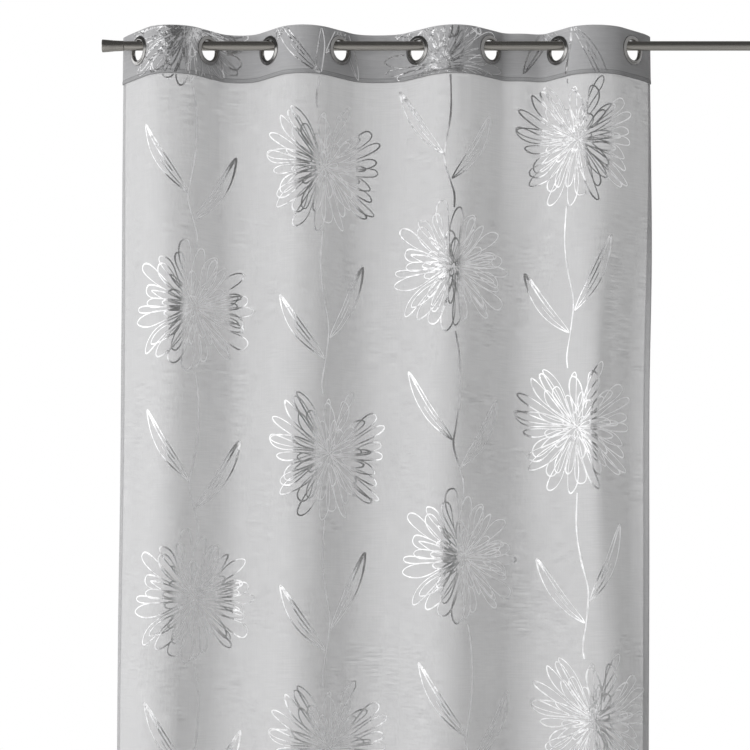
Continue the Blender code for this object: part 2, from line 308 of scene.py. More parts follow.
# Runs a tree on a start mesh and keeps the result as a plain mesh.
def buildWithTree(name, startMesh, tree, values):
    start = addObject(name + "_start", startMesh)
    modifier = start.modifiers.new("build", "NODES")
    modifier.node_group = tree
    for item in tree.interface.items_tree:
        if item.item_type == "SOCKET" and item.in_out == "INPUT" and item.name in values:
            modifier[item.identifier] = values[item.name]
    bpy.context.view_layer.update()
    evaluated = start.evaluated_get(bpy.context.evaluated_depsgraph_get())
    mesh = bpy.data.meshes.new_from_object(evaluated)
    start.modifiers.clear()
    bpy.data.objects.remove(start, do_unlink=True)
    mesh.name = name
    return addObject(name, mesh)


def newMaterial(name, colour, roughness, **sockets):
    material = bpy.data.materials.new(name)
    material.use_nodes = True
    tree = material.node_tree
    shader = tree.nodes["Principled BSDF"]
    shader.inputs["Base Color"].default_value = (*colour, 1.0)
    shader.inputs["Roughness"].default_value = roughness
    for label, value in sockets.items():
        shader.inputs[label.replace("_", " ")].default_value = value
    return material, tree, shader


def mathNode(tree, operation, first, second=0.0, third=0.0, clamp=False):
    return addNode(tree, "ShaderNodeMath", {0: first, 1: second, 2: third},
                   operation=operation, use_clamp=clamp).outputs[0]


def mapRange(tree, value, low, high, toLow, toHigh):
    return addNode(tree, "ShaderNodeMapRange", {
        "Value": value, "From Min": low, "From Max": high, "To Min": toLow, "To Max": toHigh,
    }).outputs[0]


def blendColours(tree, share, first, second):
    node = addNode(tree, "ShaderNodeMix", {"Factor": share}, data_type="RGBA")
    node.inputs[6].default_value = (*first, 1.0)
    node.inputs[7].default_value = (*second, 1.0)
    return node.outputs[2]


def addBump(tree, shader, height, strength, depth):
    bump = addNode(tree, "ShaderNodeBump", {
        "Height": height, "Strength": strength, "Distance": depth})
    tree.links.new(bump.outputs[0], shader.inputs["Normal"])


def paint(tree, shader, share, first, second):
    tree.links.new(blendColours(tree, share, first, second), shader.inputs["Base Color"])


def stretchedNoise(tree, u, v, acrossScale, upScale, detail):
    place = addNode(tree, "ShaderNodeCombineXYZ", {
        "X": mathNode(tree, "MULTIPLY", u, acrossScale),
        "Y": mathNode(tree, "MULTIPLY", v, upScale)})
    return addNode(tree, "ShaderNodeTexNoise", {
        "Vector": place, "Scale": 1.0, "Detail": detail}).outputs["Fac"]


def objectNoise(tree, scales, detail):
    place = addNode(tree, "ShaderNodeTexCoord").outputs["Object"]
    scaled = addNode(tree, "ShaderNodeVectorMath", {0: place, 1: scales}, operation="MULTIPLY")
    return addNode(tree, "ShaderNodeTexNoise", {
        "Vector": scaled, "Scale": 1.0, "Detail": detail}).outputs["Fac"]


# Voile: a fine open weave with uneven threads that run across as thin streaks. Each noise has
# its scale across the cloth and up it, and its detail.
weaving = {
    "pitch": 0.0011,
    "roughness": 0.78,
    "sheen": 0.12,
    "sheenRoughness": 0.45,
    "specular": 0.25,
    "streaks": (24.0, 380.0, 3.0),
    "uprights": (480.0, 10.0, 3.0),
    "clouds": (7.0, 5.0, 2.0),
    "patches": (0.38, 0.62, 0.25, 1.50),  # what the clouds make of the streaks
    "darkening": (0.35, 0.65, 0.0, 1.0),  # what the streaks make of the colour
    "streakHeight": 2.0,
    "bumpDepth": 0.0003,
}
panelFinish = {
    "light": (0.64, 0.64, 0.65),
    "dark": (0.57, 0.57, 0.58),
    "alpha": 0.74,
    "weaveAlpha": 0.05,
    "streakAlpha": 0.30,
    "upAlpha": 0.10,
    "cloudAlpha": 0.08,
    "bump": 0.25,
}
# Heading band: the same voile doubled, so nearly opaque. Its light and dark colours are set below
# the panel's as painted shade, for a front that little light reaches.
bandWithPaintedShade = {
    "light": (0.52, 0.52, 0.53),
    "dark": (0.47, 0.47, 0.48),
    "alpha": 0.97,
    "weaveAlpha": 0.02,
    "streakAlpha": 0.05,
    "upAlpha": 0.03,
    "cloudAlpha": 0.02,
    "bump": 0.18,
}
# Darker lines of the heading's seam: middle above the edge, half width and strength.
seamShade = {
    "lines": ((0.0008, 0.0009, 1.0), (0.0080, 0.0009, 1.0), (0.0040, 0.0040, 0.5)),
    "depth": 0.42,
    "colour": (0.12, 0.12, 0.125),
}


def voileMaterial(name, finish, seamBand=False):
    material, tree, shader = newMaterial(
        name, finish["light"], weaving["roughness"], Sheen_Weight=weaving["sheen"],
        Sheen_Roughness=weaving["sheenRoughness"], Specular_IOR_Level=weaving["specular"])
    flat = addNode(tree, "ShaderNodeUVMap", uv_map="UVMap")
    split = addNode(tree, "ShaderNodeSeparateXYZ", {0: flat})
    u, v = split.outputs[0], split.outputs[1]
    turn = 2 * pi / weaving["pitch"]
    warp, weft = [mathNode(tree, "SINE", mathNode(tree, "MULTIPLY", place, turn))
                  for place in (u, v)]
    weave = mathNode(tree, "MAXIMUM", warp, weft)
    streak, upright, cloud = [stretchedNoise(tree, u, v, *weaving[kind])
                              for kind in ("streaks", "uprights", "clouds")]
    alpha = mathNode(tree, "MULTIPLY_ADD", weave, finish["weaveAlpha"], finish["alpha"])
    patches = mapRange(tree, cloud, *weaving["patches"])
    for noise, amount in ((streak, "streakAlpha"), (upright, "upAlpha"), (cloud, "cloudAlpha")):
        centred = mathNode(tree, "SUBTRACT", noise, 0.5)
        if noise == streak:
            centred = mathNode(tree, "MULTIPLY", centred, patches)
        alpha = mathNode(tree, "MULTIPLY_ADD", centred, finish[amount], alpha)
    tree.links.new(mathNode(tree, "MULTIPLY", alpha, 1.0, clamp=True), shader.inputs["Alpha"])
    share = mapRange(tree, streak, *weaving["darkening"])
    colour = blendColours(tree, share, finish["light"], finish["dark"])
    if seamBand:
        seam = 0.0
        for up, half, strength in seamShade["lines"]:
            line = mathNode(tree, "COMPARE", v, seamEdge - clothBottom + up, half)
            seam = mathNode(tree, "MAXIMUM", seam, mathNode(tree, "MULTIPLY", line, strength))
        colour = addNode(tree, "ShaderNodeMix", {
            "Factor": mathNode(tree, "MULTIPLY", seam, seamShade["depth"]),
            6: colour, 7: (*seamShade["colour"], 1.0)}, data_type="RGBA").outputs[2]
    tree.links.new(colour, shader.inputs["Base Color"])
    height = mathNode(tree, "MULTIPLY_ADD", streak, weaving["streakHeight"], weave)
    addBump(tree, shader, height, finish["bump"], weaving["bumpDepth"])
    return material


# grain: noise scales along x, y and z. spread: range of the roughness.
metalFinish = {
    "nickel": {"colour": (0.33, 0.325, 0.32), "roughness": 0.17, "spread": 0.12,
               "grain": (60, 60, 60), "bump": 0.3, "bumpDepth": 0.00004},
    "rod_steel": {"colour": (0.50, 0.48, 0.45), "roughness": 0.27, "spread": 0.10,
                  "grain": (6, 900, 900), "bump": 0.3, "bumpDepth": 0.00003},
    "silver_foil": {"colour": (0.93, 0.93, 0.94), "roughness": 0.33, "spread": 0.12,
                    "grain": (70, 70, 70), "bump": 1.0, "bumpDepth": 0.0015},
    "creased_silver_foil": {"colour": (0.84, 0.84, 0.85), "roughness": 0.29, "spread": 0.12,
                            "grain": (60, 60, 60), "bump": 1.0, "bumpDepth": 0.0034},
}
# What the grain makes of the roughness and the colour: noise from and to, and the dull share.
metalWear = {"detail": 4.0, "rough": (0.30, 0.70), "dull": (0.35, 0.70), "dullShare": 0.86}
threadFinish = {"light": (0.70, 0.70, 0.71), "dark": (0.42, 0.42, 0.43), "roughness": 0.6,
                "sheen": 0.2, "grain": (900, 900, 900), "detail": 2.0}


def metalMaterial(name):
    finish = metalFinish[name]
    material, tree, shader = newMaterial(
        name, finish["colour"], finish["roughness"], Metallic=1.0)
    grain = objectNoise(tree, finish["grain"], metalWear["detail"])
    low = finish["roughness"] - finish["spread"] / 2
    high = finish["roughness"] + finish["spread"] / 2
    rough = mapRange(tree, grain, *metalWear["rough"], low, high)
    tree.links.new(rough, shader.inputs["Roughness"])
    dull = tuple(metalWear["dullShare"] * c for c in finish["colour"])
    share = mapRange(tree, grain, *metalWear["dull"], 0.0, 1.0)
    paint(tree, shader, share, finish["colour"], dull)
    addBump(tree, shader, grain, finish["bump"], finish["bumpDepth"])
    return material


def threadMaterial():
    finish = threadFinish
    material, tree, shader = newMaterial(
        "stitch_thread", finish["light"], finish["roughness"], Sheen_Weight=finish["sheen"])
    noise = objectNoise(tree, finish["grain"], finish["detail"])
    paint(tree, shader, noise, finish["light"], finish["dark"])
    return material


voile = voileMaterial("voile", panelFinish)
# The heading's voile, its colour darkened as painted shade.
band = voileMaterial("heading_voile", bandWithPaintedShade, seamBand=True)
nickel = metalMaterial("nickel")
steel = metalMaterial("rod_steel")
foil = metalMaterial("silver_foil")
creasedFoil = metalMaterial("creased_silver_foil")
thread = threadMaterial()
print("materials made")

# Soft creases laid on the main folds. depth: towards the front, negative for a trough.
Crease = namedtuple("Crease", "arc z halfWidth halfLength lean depth")
creases = [Crease(*row) for row in (
    (0.143, -0.34, 0.020, 0.24, 0.02, 0.0016),
    (0.290, -0.55, 0.016, 0.30, -0.03, -0.0014),
    (0.342, -1.05, 0.018, 0.26, 0.02, 0.0016),
    (0.475, -0.80, 0.024, 0.34, 0.03, -0.0018),
    (0.656, -0.46, 0.022, 0.30, -0.02, 0.0018),
    (0.665, -1.16, 0.018, 0.28, 0.03, -0.0016),
    (0.836, -0.36, 0.020, 0.22, 0.04, 0.0014),
    (0.860, -1.00, 0.024, 0.36, -0.03, 0.0018),
    (1.021, -0.62, 0.020, 0.30, 0.02, -0.0016),
    (1.199, -0.74, 0.014, 0.26, 0.00, 0.0030),
    (1.183, -1.25, 0.018, 0.26, -0.02, -0.0016),
    (0.238, -1.70, 0.022, 0.34, 0.02, 0.0018),
    (0.779, -1.86, 0.022, 0.34, -0.02, -0.0018),
    (1.064, -1.92, 0.024, 0.32, 0.02, 0.0018),
)]
# A wave is a weight and two sines, each with its turns along the arc and up the cloth, in
# radians a metre, and its phase.
ripple = {
    "amount": 0.0007,
    "waves": (
        (1.0, (61, 5.1, 0.7), (4, 3.3, 1.1)),
        (0.5, (113, -8.7, 2.0), (-3, 7.1, 0.0)),
    ),
    "puckerPitch": 0.021,
    "puckerAmount": 0.0007,
    "puckerReach": 0.05,
    "puckerWander": (2.0, 19),
}


def ripples(arcs, height):
    lift = 0.0
    for weight, *sines in ripple["waves"]:
        for along, up, phase in sines:
            weight = weight * np.sin(arcs * along + height * up + phase)
        lift = lift + weight * ripple["amount"]
    fade = exp(-max(seamEdge - height, 0.0) / ripple["puckerReach"])
    wander, turns = ripple["puckerWander"]
    pucker = np.sin(arcs * 2 * pi / ripple["puckerPitch"] + wander * np.sin(arcs * turns))
    lift = lift + pucker * ripple["puckerAmount"] * fade * (1 - fade)
    for crease in creases:
        across = (arcs - crease.arc - crease.lean * (height - crease.z)) / crease.halfWidth
        along = (height - crease.z) / crease.halfLength
        lift = lift + crease.depth * np.exp(-across**2 - along**2)
    return lift


# Panel: one layer of cloth with its side and bottom hems turned to the back.
panelBuild = {"columns": 346, "rows": 150, "hemColumns": 3, "hemRows": 6, "hemGap": 0.0006}


def panelLayout():
    gap = panelBuild["hemGap"]
    hem = np.linspace(cloth["sideHem"], 0.0, panelBuild["hemColumns"] + 1)
    front = np.linspace(0.0, cloth["width"], panelBuild["columns"] + 1)
    columns = [(arc, gap, -arc) for arc in hem]
    columns += [(arc, 0.0, arc) for arc in front]
    columns += [(cloth["width"] - arc, gap, cloth["width"] + arc) for arc in hem[::-1]]
    turned = np.linspace(cloth["bottomHem"], 0.0, panelBuild["hemRows"] + 1)
    rows = [(clothBottom + up, gap, -up) for up in turned]
    top = seamEdge + cloth["seamLap"]
    heights = np.linspace(clothBottom, top, panelBuild["rows"] + 1)
    rows += [(height, 0.0, height - clothBottom) for height in heights]
    return columns, rows


def gridFaces(rowCount, columnCount):
    faces = []
    for row in range(rowCount - 1):
        for column in range(columnCount - 1):
            a = row * columnCount + column
            faces.append((a, a + 1, a + columnCount + 1, a + columnCount))
    return faces


def buildPanel():
    columns, rows = panelLayout()
    arcs, behind, us = np.array(columns).T
    sag = clothSag(arcs, sags)
    points, uvs = [], []
    panelFront = cloth["headingThickness"] / 2 + cloth["gap"]
    for height, rowBehind, v in rows:
        tuck = min(max((seamEdge - height) / cloth["seamLap"], 0.0), 1.0)
        away = panelFront + behind + rowBehind - ripples(arcs, height) * tuck
        points.append(behindPlan(*planAt(height, arcs), away, height - sag))
        uvs.append(np.column_stack([us, np.full(len(us), v)]))
    faces = gridFaces(len(rows), len(columns))
    mesh = makeMesh("hung_panel", np.concatenate(points), faces, np.concatenate(uvs))
    mesh.materials.append(voile)
    return addObject("hung_panel", mesh)


panel = buildPanel()
panel.visible_glossy = False  # foil on one fold mirrors the studio, not the next fold
print("panel laid in its folds:", len(panel.data.polygons), "faces")

# Heading: a doubled band with a ring of faces round each hole, closed along its edges.
headingBuild = {
    "holeSides": 48,
    "columnsBetween": 30,
    "columnsAtEdge": 10,
    "lowerRows": (-0.0445, -0.0475, -0.0492, -0.0512, -0.0532, -0.0552, -0.0566),
    "seamSwell": 0.0006,
    "swellRise": 4.0,
    "sharpFrom": 50,  # degrees
    "sameArc": 1e-6,
    "backShift": 3.0,  # the back's place on the flat map
}


def buildHeading():
    steps = headingBuild["holeSides"] // 4
    eyeletHeights = np.linspace(clothTop, -clothTop, steps + 1)
    heights = list(eyeletHeights) + list(headingBuild["lowerRows"]) + [seamEdge]
    arcs = [0.0]
    count = headingBuild["columnsAtEdge"]
    half = cloth["flatHalf"]
    for eyelet in eyelets:
        arcs += list(np.linspace(arcs[-1], eyelet.arc - half, count + 1)[1:])
        arcs += list(np.linspace(eyelet.arc - half, eyelet.arc + half, steps + 1)[1:])
        count = headingBuild["columnsBetween"]
    arcs += list(np.linspace(arcs[-1], cloth["width"], headingBuild["columnsAtEdge"] + 1)[1:])
    flatPlaces, quads, known = [], [], {}

    def pointAt(key, arc, height):
        if key not in known:
            known[key] = len(flatPlaces)
            flatPlaces.append((arc, height))
        return known[key]

    def grid(row, column):
        return pointAt((row, column), arcs[column], heights[row])

    def gridQuad(row, column):
        quads.append((grid(row, column), grid(row + 1, column),
                      grid(row + 1, column + 1), grid(row, column + 1)))

    def hole(number, corner):
        turn = pi / 4 + 2 * pi * corner / headingBuild["holeSides"]
        across = cloth["holeRadius"] * cos(turn)
        up = cloth["holeRadius"] * sin(turn)
        return pointAt(("hole", number, corner), eyelets[number].arc + across, up)

    def ringOfFaces(number, column):
        rim = [(0, column + k) for k in range(steps, 0, -1)]
        rim += [(k, column) for k in range(steps)]
        rim += [(steps, column + k) for k in range(steps)]
        rim += [(k, column + steps) for k in range(steps, 0, -1)]
        for k in range(len(rim)):
            after = (k + 1) % len(rim)
            quads.append((hole(number, k), grid(*rim[k]), grid(*rim[after]), hole(number, after)))

    lastRow = len(heights) - 1
    column = 0
    for number, eyelet in enumerate(eyelets):
        while arcs[column] < eyelet.arc - half - headingBuild["sameArc"]:
            for row in range(lastRow):
                gridQuad(row, column)
            column += 1
        ringOfFaces(number, column)
        for k in range(steps):
            for row in range(steps, lastRow):
                gridQuad(row, column + k)
        column += steps
    for rest in range(column, len(arcs) - 1):
        for row in range(lastRow):
            gridQuad(row, rest)

    places = np.array(flatPlaces)
    plan = planAt(0.0, places[:, 0])
    z = places[:, 1] - clothSag(places[:, 0], sags)
    lap = np.clip((seamEdge + cloth["seamLap"] - places[:, 1]) / cloth["seamLap"], 0.0, 1.0)
    rise = np.clip(headingBuild["swellRise"] * np.sin(pi * lap), 0.0, 1.0)
    swell = headingBuild["seamSwell"] * rise
    thin = cloth["headingThickness"] / 2
    front, back = -thin - swell, np.full(len(places), thin)
    sheets = [behindPlan(*plan, away, z) for away in (front, back)]
    size = len(places)
    faces = list(quads)
    faces += [tuple(v + size for v in reversed(quad)) for quad in quads]
    edges = {(quad[k], quad[(k + 1) % 4]) for quad in quads for k in range(4)}
    for a, b in sorted(edges):
        if (b, a) not in edges:
            faces.append((b, a, a + size, b + size))
    flat = places - [0.0, clothBottom]
    uvs = np.concatenate([flat, flat + [headingBuild["backShift"], 0.0]])
    sheetCorners = 2 * 4 * len(quads)
    mesh = makeMesh("heading_band", np.concatenate(sheets), faces, uvs, sheetCorners, size)
    mesh.set_sharp_from_angle(angle=radians(headingBuild["sharpFrom"]))
    mesh.materials.append(band)
    return addObject("heading_band", mesh)


heading = buildHeading()
print("heading band made:", len(heading.data.polygons), "faces")


# Laying flat work on the cloth: x and y are the place on the flat cloth and z is the lift.
def layOnCloth(tree, groupInput, flatWork):
    offset = addNode(tree, "ShaderNodeCombineXYZ", {"Z": groupInput.outputs["Lift"]})
    raised = addNode(tree, "GeometryNodeSetPosition", {"Geometry": flatWork, "Offset": offset})
    info = addNode(tree, "GeometryNodeObjectInfo", {"Object": groupInput.outputs["Cloth"]})
    flatMap = namedField(tree, "UVMap", "FLOAT_VECTOR")
    place = addNode(tree, "GeometryNodeInputPosition")
    split = addNode(tree, "ShaderNodeSeparateXYZ", {0: place})
    flatPlace = addNode(tree, "ShaderNodeCombineXYZ", {
        "X": split.outputs[0], "Y": split.outputs[1]})
    sampled = []
    for field in (place, addNode(tree, "GeometryNodeInputNormal")):
        sampled.append(addNode(tree, "GeometryNodeSampleUVSurface", {
            "Mesh": info.outputs["Geometry"], "Value": field, "UV Map": flatMap,
            "Sample UV": flatPlace}, data_type="FLOAT_VECTOR"))
    lift = addNode(tree, "ShaderNodeVectorMath", {
        0: sampled[1], "Scale": split.outputs[2]}, operation="SCALE")
    target = addNode(tree, "ShaderNodeVectorMath", {0: sampled[0], 1: lift}, operation="ADD")
    missed = addNode(tree, "FunctionNodeBooleanMath", {0: sampled[0].outputs[1]}, operation="NOT")
    kept = addNode(tree, "GeometryNodeDeleteGeometry", {"Geometry": raised, "Selection": missed})
    return addNode(tree, "GeometryNodeSetPosition", {"Geometry": kept, "Position": target})


# Foil lines: flat ribbons along drawn paths, each point with its own half width.
def foilTree():
    tree, start, end = newTree("foil_lines", Cloth="Object", Lift="Float")
    curve = addNode(tree, "GeometryNodeMeshToCurve", {"Mesh": start.outputs["Geometry"]})
    curve = addNode(tree, "GeometryNodeSetCurveNormal", {"Curve": curve}, mode="Z_UP")
    width = namedField(tree, "halfWidth")
    profile = addNode(tree, "GeometryNodeCurvePrimitiveLine", {
        "Start": (-1, 0, 0), "End": (1, 0, 0)})
    ribbon = addNode(tree, "GeometryNodeCurveToMesh", {
        "Curve": curve, "Profile Curve": profile, "Scale": width, "Fill Caps": False})
    endTree(tree, start, end, layOnCloth(tree, start, ribbon))
    return tree


# Stitches: short threads at an even pitch along seam lines.
def stitchTree():
    tree, start, end = newTree(
        "stitch_lines", Cloth="Object", Pitch="Float", Stitch_Length="Float",
        Thread_Radius="Float", Thread_Sides="Int", Lift="Float")
    curve = addNode(tree, "GeometryNodeMeshToCurve", {"Mesh": start.outputs["Geometry"]})
    points = addNode(tree, "GeometryNodeCurveToPoints", {
        "Curve": curve, "Length": start.outputs["Pitch"]}, mode="LENGTH")
    stitch = addNode(tree, "GeometryNodeMeshCylinder", {
        "Vertices": start.outputs["Thread Sides"], "Radius": start.outputs["Thread Radius"],
        "Depth": start.outputs["Stitch Length"]})
    placed = addNode(tree, "GeometryNodeInstanceOnPoints", {
        "Points": points, "Instance": stitch, "Rotation": points.outputs["Rotation"]})
    realized = addNode(tree, "GeometryNodeRealizeInstances", {"Geometry": placed})
    endTree(tree, start, end, layOnCloth(tree, start, realized))
    return tree


def plainMesh(name, points, edges, **attributes):
    mesh = bpy.data.meshes.new(name)
    mesh.from_pydata(points, edges, [])
    for label, values in attributes.items():
        mesh.attributes.new(label, "FLOAT", "POINT").data.foreach_set("value", values)
    return mesh


def pathMesh(name, paths):
    points, edges, widths = [], [], []
    for path in paths:
        first = len(points)
        points += [(p[0], p[1], 0.0) for p in path]
        widths += [p[2] if len(p) > 2 else 0.0 for p in path]
        edges += [(first + k, first + k + 1) for k in range(len(path) - 1)]
    return plainMesh(name, points, edges, halfWidth=widths)


# Print: four columns of loose many-petalled flowers, each with a thin stem and a pair of leaves
# above it. All the places are measured on the hung cloth from the middle of the flower.
Leaf = namedtuple("Leaf", "baseX baseZ tipX tipZ width bow")
Motif = namedtuple("Motif", "seed leaves stem")
motifA = Motif(
    11,
    (Leaf(-0.012, 0.228, -0.100, 0.366, 0.023, 0.008),
     Leaf(0.004, 0.176, 0.092, 0.310, 0.024, -0.010)),
    ((0.006, 0.118), (0.007, 0.145), (0.001, 0.170), (-0.010, 0.216),
     (-0.003, 0.258), (0.007, 0.315), (0.009, 0.390), (0.003, 0.440)),
)
motifB = Motif(
    29,
    (Leaf(-0.009, 0.188, -0.100, 0.312, 0.024, 0.010),
     Leaf(0.004, 0.230, 0.079, 0.378, 0.023, -0.008)),
    ((-0.014, 0.118), (-0.015, 0.144), (-0.006, 0.190), (0.001, 0.237),
     (0.000, 0.263), (-0.009, 0.308), (-0.015, 0.369), (-0.010, 0.440)),
)
# arc: place across the flat cloth at the rod's height. lean: metres across for a metre of drop.
Column = namedtuple("Column", "arc lean firstZ motif")
printColumns = (
    Column(0.1925, 0.020, 0.037, motifA),
    Column(0.5225, 0.014, -0.252, motifB),
    Column(0.8215, 0.042, 0.113, motifA),
    Column(1.1250, 0.042, -0.199, motifB),
)
foilPrint = {
    "pitch": 0.568,
    "flowerRadius": 0.142,
    "flowerSqueeze": 0.92,  # hung width over hung height
    "lineHalf": 0.00112,
    "leafHalf": 0.00145,
    "stemHalf": 0.00165,
    "stemWaver": (0.17, 0.35),
    "pointStep": 0.0045,
    "gather": 0.81,  # hung width over flat width
    "hungShare": 0.6,  # how far the print keeps its hung shape rather than its flat one
    "margin": 0.004,
    "seamClear": (0.0005, 0.001),  # below the edge of the heading and above it
    "ringClear": 0.0285,
    "lift": 0.0004,
    "turnedWeight": 0.55,  # lines on the turned-over layer of the heading, seen through the front
}
# Rounds of petals from the outside in. jitter: share of the step from petal to petal. start and
# width in metres, reach as a share of the flower's radius, each from and to.
Petals = namedtuple("Petals", "count jitter start reach width weight")
petalRounds = (
    Petals(29, 0.28, (0.008, 0.046), (0.70, 1.00), (0.013, 0.027), 1.0),
    Petals(18, 0.35, (0.004, 0.022), (0.38, 0.70), (0.009, 0.019), 1.0),
    Petals(7, 0.40, (0.001, 0.006), (0.13, 0.24), (0.005, 0.009), 0.8),
)
petalShape = {
    "bend": 0.13,
    "blunt": (0.38, 0.62),
    "waist": (0.75, 1.70),
    "fewestSteps": 14,
    "wavers": ((0.0010, 9), (0.0006, 7), (0.25, 5)),  # of the side, the length and the weight
    "weight": (0.75, 0.55),  # at the foot, and what the tip adds
}
rayShape = {"count": 9, "start": (0.006, 0.030), "length": (0.020, 0.050), "lean": 0.10,
            "weight": (0.5, 0.8), "points": 8, "fade": 1.2}
leafShape = {
    "steps": 84,
    "body": (2.92, 0.80, 0.75),  # fullness, and the powers of the base and the tip
    "weight": (0.75, 0.75, 0.25),
    "inner": (0.42, 0.30, 0.95, 30),  # side, from, to and points
    "middle": (-0.15, 0.02, 0.52, 20),
    "middleWeight": 0.6,
}


def smoothPath(points, step):
    points = np.array(points)
    ends = np.vstack([2 * points[0] - points[1], points, 2 * points[-1] - points[-2]])
    path = []
    for k in range(1, len(ends) - 2):
        a, b, c, d = ends[k - 1:k + 3]
        count = max(2, int(np.linalg.norm(c - b) / step))
        for t in np.arange(count) / count:
            path.append(0.5 * (2 * b + (c - a) * t + (2 * a - 5 * b + 4 * c - d) * t**2
                               + (3 * b - a - 3 * c + d) * t**3))
    path.append(ends[-2])
    return np.array(path)


# A loop drawn out along one side to its tip and back along the other.
def petalLoop(rng, angle, start, reach, width, weight):
    bend = rng.uniform(-petalShape["bend"], petalShape["bend"]) * reach
    phases = [rng.uniform(0, 2 * pi) for _ in range(3)]
    blunt = rng.uniform(*petalShape["blunt"])
    waist = rng.uniform(*petalShape["waist"])
    peak = waist / (waist + blunt)
    full = peak**waist * (1 - peak) ** blunt
    steps = int(2 * (reach - start) / foilPrint["pointStep"])
    count = max(petalShape["fewestSteps"], steps)
    foot, tip = petalShape["weight"]
    loop = []
    for k in range(count + 1):
        t = 2 * k / count
        u = (1 - cos(pi * t)) / 2
        side = 1 if t < 1 else -1
        sideWaver, lengthWaver, weightWaver = [
            size * sin(speed * t + phase)
            for (size, speed), phase in zip(petalShape["wavers"], phases)]
        across = side * width / 2 * u**waist * (1 - u) ** blunt / full + bend * u * u + sideWaver
        along = start + (reach - start) * u + lengthWaver
        half = (foot + tip * u**3 + weightWaver) * weight * foilPrint["lineHalf"]
        loop.append((along * cos(angle) - across * sin(angle),
                     along * sin(angle) + across * cos(angle), half))
    return loop


def flowerPaths(seed):
    rng = random.Random(seed)
    paths = []
    for petals in petalRounds:
        for k in range(petals.count):
            place = k + rng.uniform(-petals.jitter, petals.jitter)
            reach = foilPrint["flowerRadius"] * rng.uniform(*petals.reach)
            start = rng.uniform(*petals.start)
            width = rng.uniform(*petals.width)
            paths.append(petalLoop(rng, 2 * pi * place / petals.count, start, reach, width,
                                   petals.weight))
    for _ in range(rayShape["count"]):
        angle = rng.uniform(0, 2 * pi)
        inner = rng.uniform(*rayShape["start"])
        outer = inner + rng.uniform(*rayShape["length"])
        lean = angle + rng.uniform(-rayShape["lean"], rayShape["lean"])
        ends = np.array([(inner * cos(angle), inner * sin(angle)),
                         (outer * cos(lean), outer * sin(lean))])
        half = foilPrint["lineHalf"] * rng.uniform(*rayShape["weight"])
        paths.append([(*(ends[0] + (ends[1] - ends[0]) * t), half * (rayShape["fade"] - t))
                      for t in np.linspace(0, 1, rayShape["points"])])
    return paths


def leafPaths(leaf):
    base = np.array([leaf.baseX, leaf.baseZ])
    along = np.array([leaf.tipX, leaf.tipZ]) - base
    across = np.array([-along[1], along[0]]) / np.linalg.norm(along)
    half = foilPrint["leafHalf"]
    outer = 1 if leaf.tipX > leaf.baseX else -1
    full, basePower, tipPower = leafShape["body"]
    foot, tip, waver = leafShape["weight"]

    def at(u, side):
        body = side * leaf.width / 2 * full * u**basePower * (1 - u) ** tipPower
        return base + along * u + across * (body + leaf.bow * sin(pi * u))

    outline = []
    for k in range(leafShape["steps"] + 1):
        t = 2 * k / leafShape["steps"]
        u = (1 - cos(pi * t)) / 2
        weight = foot + tip * u**4 + waver * sin(6 * t + 1)
        outline.append((*at(u, 1 if t < 1 else -1), half * weight))
    side, *span = leafShape["inner"]
    inner = [(*at(u, side * outer), half * (0.5 + u * u)) for u in np.linspace(*span)]
    side, *span = leafShape["middle"]
    half = half * leafShape["middleWeight"]
    middle = [(*at(u, side * outer), half * (1.1 - u)) for u in np.linspace(*span)]
    return [outline, inner, middle]


def motifPaths(motif):
    paths = flowerPaths(motif.seed)
    for leaf in motif.leaves:
        paths += leafPaths(leaf)
    stem = smoothPath(motif.stem, foilPrint["pointStep"])
    waver, speed = foilPrint["stemWaver"]
    weights = foilPrint["stemHalf"] * (1.0 + waver * np.sin(np.arange(len(stem)) * speed))
    paths.append([(*point, half) for point, half in zip(stem, weights)])
    return paths


# Heights of the cloth's rows with their x, to find the flat place of a hung one.
printMap = {"rows": 121, "columns": 351}
mapHeights = np.linspace(clothTop, clothBottom, printMap["rows"])
mapArcs = np.linspace(0.0, cloth["width"], printMap["columns"])
mapRows = [planAt(height, mapArcs)[0] for height in mapHeights]


def rowsAt(height):
    place = (clothTop - height) / (clothTop - clothBottom) * (len(mapHeights) - 1)
    place = min(max(place, 0.0), len(mapHeights) - 1.001)
    row = int(place)
    share = place - row
    return mapRows[row] * (1 - share) + mapRows[row + 1] * share


def layMotif(column, middle):
    middleRow = rowsAt(middle)
    hung = foilPrint["hungShare"]
    laid = []
    for path in motifPaths(column.motif):
        flat = []
        for across, dz, half in path:
            dx = across * foilPrint["flowerSqueeze"]
            height = middle + dz
            centre = column.arc - column.lean * height
            evenly = centre + dx / foilPrint["gather"]
            asHung = np.interp(np.interp(centre, mapArcs, middleRow) + dx, rowsAt(height), mapArcs)
            flat.append(((1 - hung) * evenly + hung * asHung, height, half))
        laid.append(flat)
    return laid


# Splits a path where it leaves the printed cloth.
def insideRuns(path, inside):
    runs, run = [], []
    for arc, height, half in path:
        if inside(arc, height):
            run.append((arc, height - clothBottom, half))
        elif run:
            runs.append(run)
            run = []
    runs.append(run)
    return [run for run in runs if len(run) > 1]


def inReach(arc, height, low, high):
    edge = foilPrint["margin"]
    return edge < arc < cloth["width"] - edge and low < height < high


def onPanel(arc, height):
    low = clothBottom + foilPrint["margin"]
    return inReach(arc, height, low, seamEdge - foilPrint["seamClear"][0])


def onHeading(arc, height):
    clear = foilPrint["seamClear"][1]
    return inReach(arc, height, seamEdge + clear, clothTop - clear) and all(
        hypot(arc - e.arc, height) > foilPrint["ringClear"] for e in eyelets)


